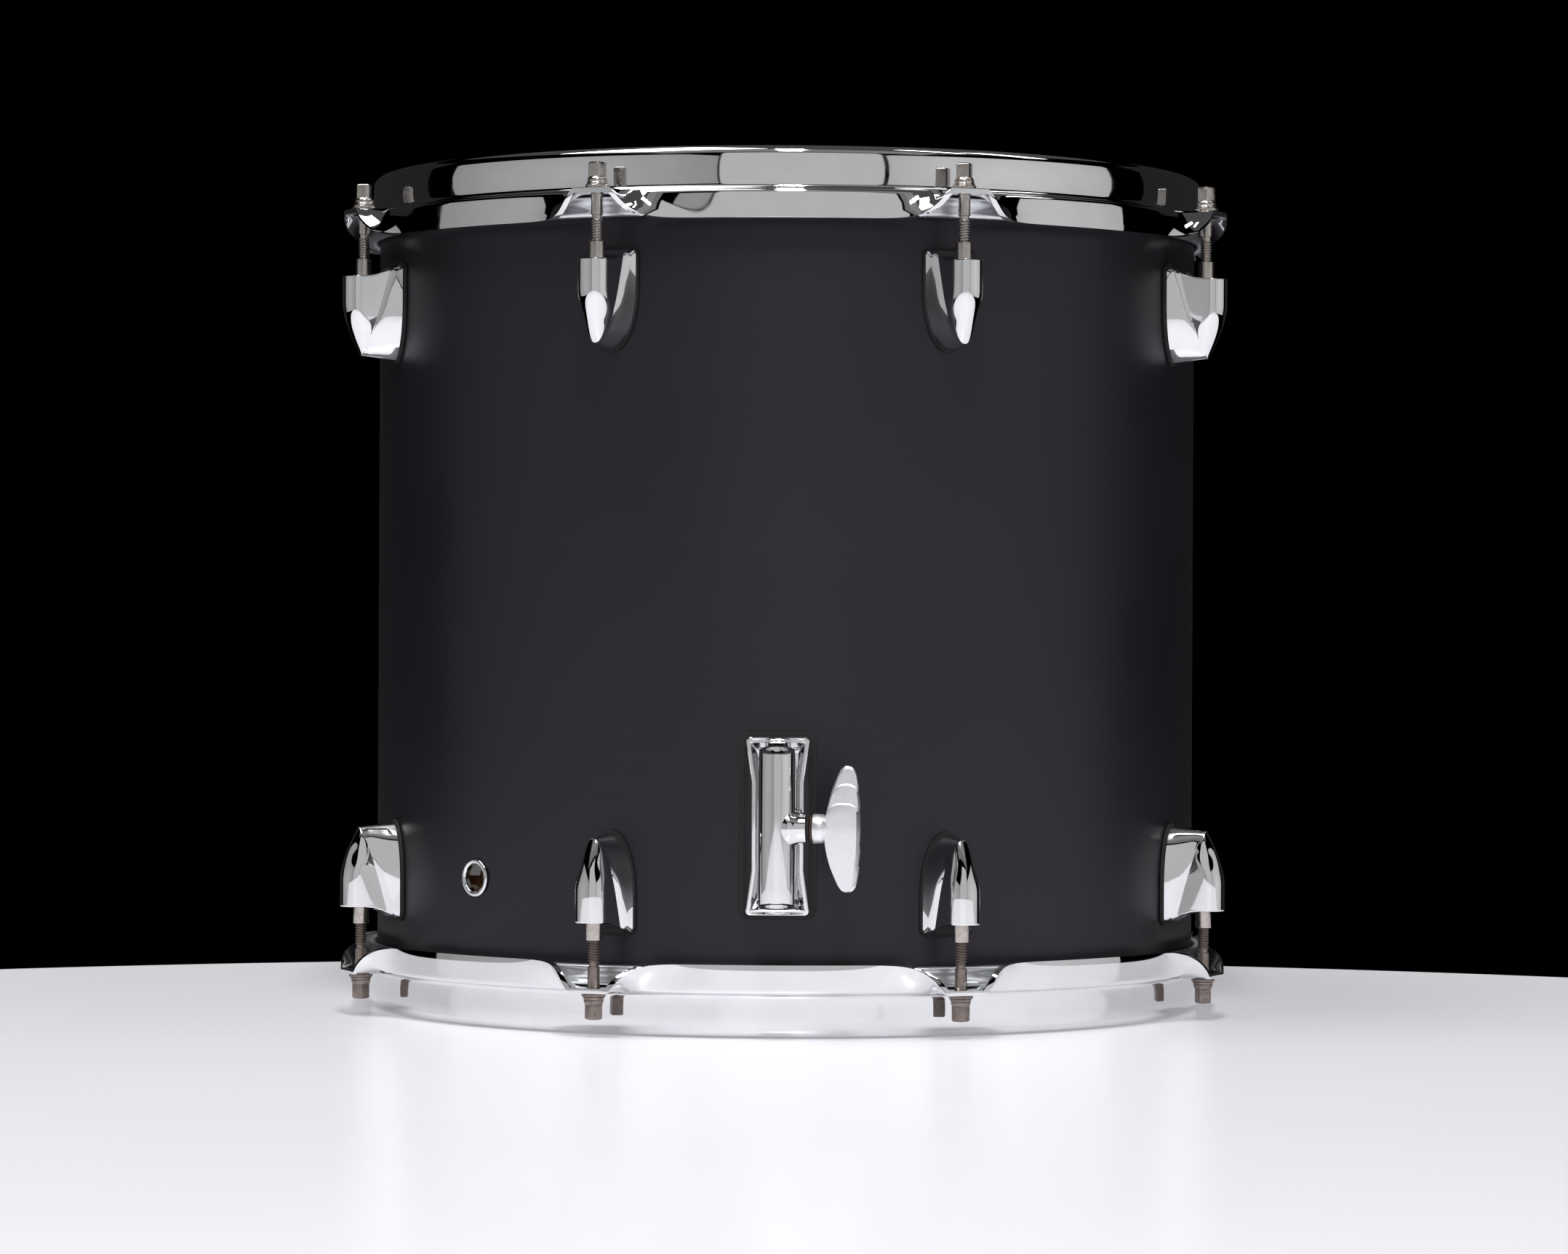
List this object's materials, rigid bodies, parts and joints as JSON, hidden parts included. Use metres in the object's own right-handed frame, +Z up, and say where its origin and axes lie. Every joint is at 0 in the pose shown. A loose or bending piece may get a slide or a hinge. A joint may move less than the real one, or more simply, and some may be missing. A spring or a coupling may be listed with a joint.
{
  "type": "floor tom",
  "caption": "Floor tom drum without legs: black lacquered wood shell, chromed counter hoops with tension rods and lugs, leg brackets with wing bolts, and an air vent.",
  "frame": {"origin": "on the drum's axis, midway between the two bearing edges of the shell", "axes": "+Z up along the drum's axis towards the batter head, -Y towards the front leg bracket, +X to the right seen from the front"},
  "size_m": [0.4256, 0.4546, 0.408],
  "materials": {
    "lacquered_wood": "satin black lacquer",
    "chrome": "polished plating",
    "nickel": "satin nickel plating, slightly dulled",
    "aluminium": "bright rolled",
    "coated_film": "white matte coating",
    "clear_film": "clear polyester film",
    "rubber": "black, matte",
    "steel": "threaded, dull brown",
    "silver_paint": "sparkling silver-grey paint on die-cast metal"
  },
  "bodies": {
    "drum": {"shell": "lacquered_wood", "vent_grommet": "chrome", "batter_lug_1": "chrome", "batter_lug_2": "chrome", "batter_lug_3": "chrome", "batter_lug_4": "chrome", "batter_lug_5": "chrome", "batter_lug_6": "chrome", "batter_lug_7": "chrome", "batter_lug_8": "chrome", "resonant_lug_1": "chrome", "resonant_lug_2": "chrome", "resonant_lug_3": "chrome", "resonant_lug_4": "chrome", "resonant_lug_5": "chrome", "resonant_lug_6": "chrome", "resonant_lug_7": "chrome", "resonant_lug_8": "chrome", "leg_bracket_front": "chrome", "bracket_gasket_front": "rubber", "wing_washer_front": "rubber", "leg_bracket_rear_right": "chrome", "bracket_gasket_rear_right": "rubber", "wing_washer_rear_right": "rubber", "leg_bracket_rear_left": "chrome", "bracket_gasket_rear_left": "rubber", "wing_washer_rear_left": "rubber"},
    "batter_hoop_and_head": {"batter_hoop": "chrome", "batter_flesh_hoop": "aluminium", "batter_head": "coated_film"},
    "batter_rod_1": {"batter_rod_1": "nickel"},
    "batter_rod_2": {"batter_rod_2": "nickel"},
    "batter_rod_3": {"batter_rod_3": "nickel"},
    "batter_rod_4": {"batter_rod_4": "nickel"},
    "batter_rod_5": {"batter_rod_5": "nickel"},
    "batter_rod_6": {"batter_rod_6": "nickel"},
    "batter_rod_7": {"batter_rod_7": "nickel"},
    "batter_rod_8": {"batter_rod_8": "nickel"},
    "resonant_hoop_and_head": {"resonant_hoop": "chrome", "resonant_flesh_hoop": "aluminium", "resonant_head": "clear_film"},
    "resonant_rod_1": {"resonant_rod_1": "nickel"},
    "resonant_rod_2": {"resonant_rod_2": "nickel"},
    "resonant_rod_3": {"resonant_rod_3": "nickel"},
    "resonant_rod_4": {"resonant_rod_4": "nickel"},
    "resonant_rod_5": {"resonant_rod_5": "nickel"},
    "resonant_rod_6": {"resonant_rod_6": "nickel"},
    "resonant_rod_7": {"resonant_rod_7": "nickel"},
    "resonant_rod_8": {"resonant_rod_8": "nickel"},
    "clamp_shoe_front": {"clamp_shoe_front": "steel"},
    "wing_bolt_front": {"wing_stud_front": "steel", "wing_handle_front": "silver_paint"},
    "clamp_shoe_rear_right": {"clamp_shoe_rear_right": "steel"},
    "wing_bolt_rear_right": {"wing_stud_rear_right": "steel", "wing_handle_rear_right": "silver_paint"},
    "clamp_shoe_rear_left": {"clamp_shoe_rear_left": "steel"},
    "wing_bolt_rear_left": {"wing_stud_rear_left": "steel", "wing_handle_rear_left": "silver_paint"}
  },
  "joints": [
    {"name": "batter_hoop_slide", "type": "slide", "parent": "drum", "child": "batter_hoop_and_head", "axis": [0, 0, 1], "range_m": [0, 0.00317]},
    {"name": "batter_rod_1_turn", "type": "hinge", "parent": "batter_hoop_and_head", "child": "batter_rod_1", "pos_m": [0.08373, -0.20214, 0.18345], "axis": [0, 0, 1], "range_deg": [0, 1081]},
    {"name": "batter_rod_2_turn", "type": "hinge", "parent": "batter_hoop_and_head", "child": "batter_rod_2", "pos_m": [0.20214, -0.08373, 0.18345], "axis": [0, 0, 1], "range_deg": [0, 1081]},
    {"name": "batter_rod_3_turn", "type": "hinge", "parent": "batter_hoop_and_head", "child": "batter_rod_3", "pos_m": [0.20214, 0.08373, 0.18345], "axis": [0, 0, 1], "range_deg": [0, 1081]},
    {"name": "batter_rod_4_turn", "type": "hinge", "parent": "batter_hoop_and_head", "child": "batter_rod_4", "pos_m": [0.08373, 0.20214, 0.18345], "axis": [0, 0, 1], "range_deg": [0, 1081]},
    {"name": "batter_rod_5_turn", "type": "hinge", "parent": "batter_hoop_and_head", "child": "batter_rod_5", "pos_m": [-0.08373, 0.20214, 0.18345], "axis": [0, 0, 1], "range_deg": [0, 1081]},
    {"name": "batter_rod_6_turn", "type": "hinge", "parent": "batter_hoop_and_head", "child": "batter_rod_6", "pos_m": [-0.20214, 0.08373, 0.18345], "axis": [0, 0, 1], "range_deg": [0, 1081]},
    {"name": "batter_rod_7_turn", "type": "hinge", "parent": "batter_hoop_and_head", "child": "batter_rod_7", "pos_m": [-0.20214, -0.08373, 0.18345], "axis": [0, 0, 1], "range_deg": [0, 1081]},
    {"name": "batter_rod_8_turn", "type": "hinge", "parent": "batter_hoop_and_head", "child": "batter_rod_8", "pos_m": [-0.08373, -0.20214, 0.18345], "axis": [0, 0, 1], "range_deg": [0, 1081]},
    {"name": "resonant_hoop_slide", "type": "slide", "parent": "drum", "child": "resonant_hoop_and_head", "axis": [0, 0, -1], "range_m": [0, 0.00317]},
    {"name": "resonant_rod_1_turn", "type": "hinge", "parent": "resonant_hoop_and_head", "child": "resonant_rod_1", "pos_m": [0.08373, -0.20214, -0.18345], "axis": [0, 0, -1], "range_deg": [0, 1081]},
    {"name": "resonant_rod_2_turn", "type": "hinge", "parent": "resonant_hoop_and_head", "child": "resonant_rod_2", "pos_m": [0.20214, -0.08373, -0.18345], "axis": [0, 0, -1], "range_deg": [0, 1081]},
    {"name": "resonant_rod_3_turn", "type": "hinge", "parent": "resonant_hoop_and_head", "child": "resonant_rod_3", "pos_m": [0.20214, 0.08373, -0.18345], "axis": [0, 0, -1], "range_deg": [0, 1081]},
    {"name": "resonant_rod_4_turn", "type": "hinge", "parent": "resonant_hoop_and_head", "child": "resonant_rod_4", "pos_m": [0.08373, 0.20214, -0.18345], "axis": [0, 0, -1], "range_deg": [0, 1081]},
    {"name": "resonant_rod_5_turn", "type": "hinge", "parent": "resonant_hoop_and_head", "child": "resonant_rod_5", "pos_m": [-0.08373, 0.20214, -0.18345], "axis": [0, 0, -1], "range_deg": [0, 1081]},
    {"name": "resonant_rod_6_turn", "type": "hinge", "parent": "resonant_hoop_and_head", "child": "resonant_rod_6", "pos_m": [-0.20214, 0.08373, -0.18345], "axis": [0, 0, -1], "range_deg": [0, 1081]},
    {"name": "resonant_rod_7_turn", "type": "hinge", "parent": "resonant_hoop_and_head", "child": "resonant_rod_7", "pos_m": [-0.20214, -0.08373, -0.18345], "axis": [0, 0, -1], "range_deg": [0, 1081]},
    {"name": "resonant_rod_8_turn", "type": "hinge", "parent": "resonant_hoop_and_head", "child": "resonant_rod_8", "pos_m": [-0.08373, -0.20214, -0.18345], "axis": [0, 0, -1], "range_deg": [0, 1081]},
    {"name": "clamp_shoe_front_slide", "type": "slide", "parent": "drum", "child": "clamp_shoe_front", "axis": [0.9925, -0.1219, 0], "range_m": [0, 0.0025]},
    {"name": "wing_front_turn", "type": "hinge", "parent": "clamp_shoe_front", "child": "wing_bolt_front", "pos_m": [0, -0.232, -0.10675], "axis": [0.9925, -0.1219, 0], "range_deg": [0, 720]},
    {"name": "clamp_shoe_rear_right_slide", "type": "slide", "parent": "drum", "child": "clamp_shoe_rear_right", "axis": [-0.6157, 0.788, 0], "range_m": [0, 0.0025]},
    {"name": "wing_rear_right_turn", "type": "hinge", "parent": "clamp_shoe_rear_right", "child": "wing_bolt_rear_right", "pos_m": [0.16405, 0.16405, -0.10675], "axis": [-0.6157, 0.788, 0], "range_deg": [0, 720]},
    {"name": "clamp_shoe_rear_left_slide", "type": "slide", "parent": "drum", "child": "clamp_shoe_rear_left", "axis": [-0.788, -0.6157, 0], "range_m": [0, 0.0025]},
    {"name": "wing_rear_left_turn", "type": "hinge", "parent": "clamp_shoe_rear_left", "child": "wing_bolt_rear_left", "pos_m": [-0.16405, 0.16405, -0.10675], "axis": [-0.788, -0.6157, 0], "range_deg": [0, 720]}
  ],
  "couplings": [
    {"joint": "batter_rod_1_turn", "follows": "batter_hoop_slide", "rad_per_m": 5936.9},
    {"joint": "batter_rod_2_turn", "follows": "batter_hoop_slide", "rad_per_m": 5936.9},
    {"joint": "batter_rod_3_turn", "follows": "batter_hoop_slide", "rad_per_m": 5936.9},
    {"joint": "batter_rod_4_turn", "follows": "batter_hoop_slide", "rad_per_m": 5936.9},
    {"joint": "batter_rod_5_turn", "follows": "batter_hoop_slide", "rad_per_m": 5936.9},
    {"joint": "batter_rod_6_turn", "follows": "batter_hoop_slide", "rad_per_m": 5936.9},
    {"joint": "batter_rod_7_turn", "follows": "batter_hoop_slide", "rad_per_m": 5936.9},
    {"joint": "batter_rod_8_turn", "follows": "batter_hoop_slide", "rad_per_m": 5936.9},
    {"joint": "resonant_rod_1_turn", "follows": "resonant_hoop_slide", "rad_per_m": 5936.9},
    {"joint": "resonant_rod_2_turn", "follows": "resonant_hoop_slide", "rad_per_m": 5936.9},
    {"joint": "resonant_rod_3_turn", "follows": "resonant_hoop_slide", "rad_per_m": 5936.9},
    {"joint": "resonant_rod_4_turn", "follows": "resonant_hoop_slide", "rad_per_m": 5936.9},
    {"joint": "resonant_rod_5_turn", "follows": "resonant_hoop_slide", "rad_per_m": 5936.9},
    {"joint": "resonant_rod_6_turn", "follows": "resonant_hoop_slide", "rad_per_m": 5936.9},
    {"joint": "resonant_rod_7_turn", "follows": "resonant_hoop_slide", "rad_per_m": 5936.9},
    {"joint": "resonant_rod_8_turn", "follows": "resonant_hoop_slide", "rad_per_m": 5936.9},
    {"joint": "wing_front_turn", "follows": "clamp_shoe_front_slide", "rad_per_m": 5026.5},
    {"joint": "wing_rear_right_turn", "follows": "clamp_shoe_rear_right_slide", "rad_per_m": 5026.5},
    {"joint": "wing_rear_left_turn", "follows": "clamp_shoe_rear_left_slide", "rad_per_m": 5026.5}
  ]
}
